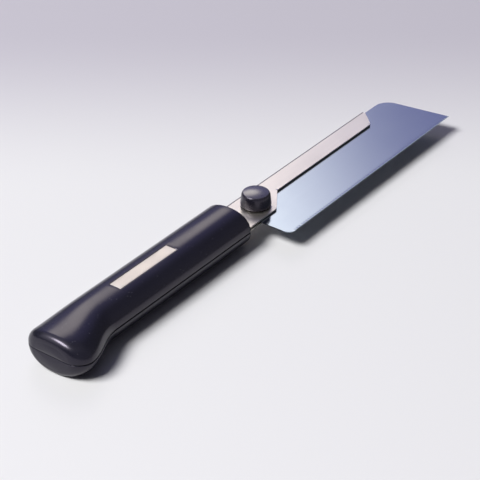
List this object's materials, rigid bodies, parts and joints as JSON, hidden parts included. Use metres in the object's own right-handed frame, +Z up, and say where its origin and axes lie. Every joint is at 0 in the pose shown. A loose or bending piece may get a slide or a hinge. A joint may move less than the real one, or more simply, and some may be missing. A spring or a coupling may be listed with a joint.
{
  "type": "razor saw",
  "caption": "Razor saw lying flat: thin blue-tinted toothed blade clamped by a black knob in a folded steel back, on a two-part black plastic handle with a bare label plate.",
  "frame": {"origin": "On the surface that the saw lies on, below the middle of its bounding box.", "axes": "+X from the handle to the blade's tip, +Y from the teeth to the back, +Z up through the side with the knob and the label plate."},
  "size_m": [0.2956, 0.0438, 0.0194],
  "materials": {
    "handle_plastic": "semi-gloss black",
    "knob_plastic": "satin black",
    "holder_steel": "bright brushed stainless",
    "blade_steel": "polished with a blue tint",
    "label_foil": "cream satin foil",
    "fastener_steel": "zinc plated"
  },
  "bodies": {
    "handle": {"handle_upper_half": "handle_plastic", "handle_lower_half": "handle_plastic", "label_plate": "label_foil", "blade_holder": "holder_steel", "tang_spacer": "holder_steel", "clamp_nut": "fastener_steel", "handle_screw_front": "fastener_steel", "handle_screw_middle": "fastener_steel", "handle_screw_rear": "fastener_steel"},
    "blade": {"blade": "blade_steel"},
    "clamp_washer": {"clamp_washer": "fastener_steel"},
    "clamp_knob": {"clamp_knob": "knob_plastic", "clamp_stud": "fastener_steel"}
  },
  "joints": [
    {"name": "blade_swing", "type": "hinge", "parent": "handle", "child": "blade", "pos_m": [0.00765, 0.0065, 0.0096], "axis": [0, 0, -1], "range_deg": [0, 28]},
    {"name": "clamp_lift", "type": "slide", "parent": "handle", "child": "clamp_washer", "axis": [0, 0, 1], "range_m": [0, 0.004]},
    {"name": "knob_turn", "type": "hinge", "parent": "clamp_washer", "child": "clamp_knob", "pos_m": [0.00765, 0.0065, 0.0116], "axis": [0, 0, 1], "range_deg": [0, 2060]}
  ],
  "couplings": [
    {"joint": "knob_turn", "follows": "clamp_lift", "rad_per_m": 8976}
  ]
}
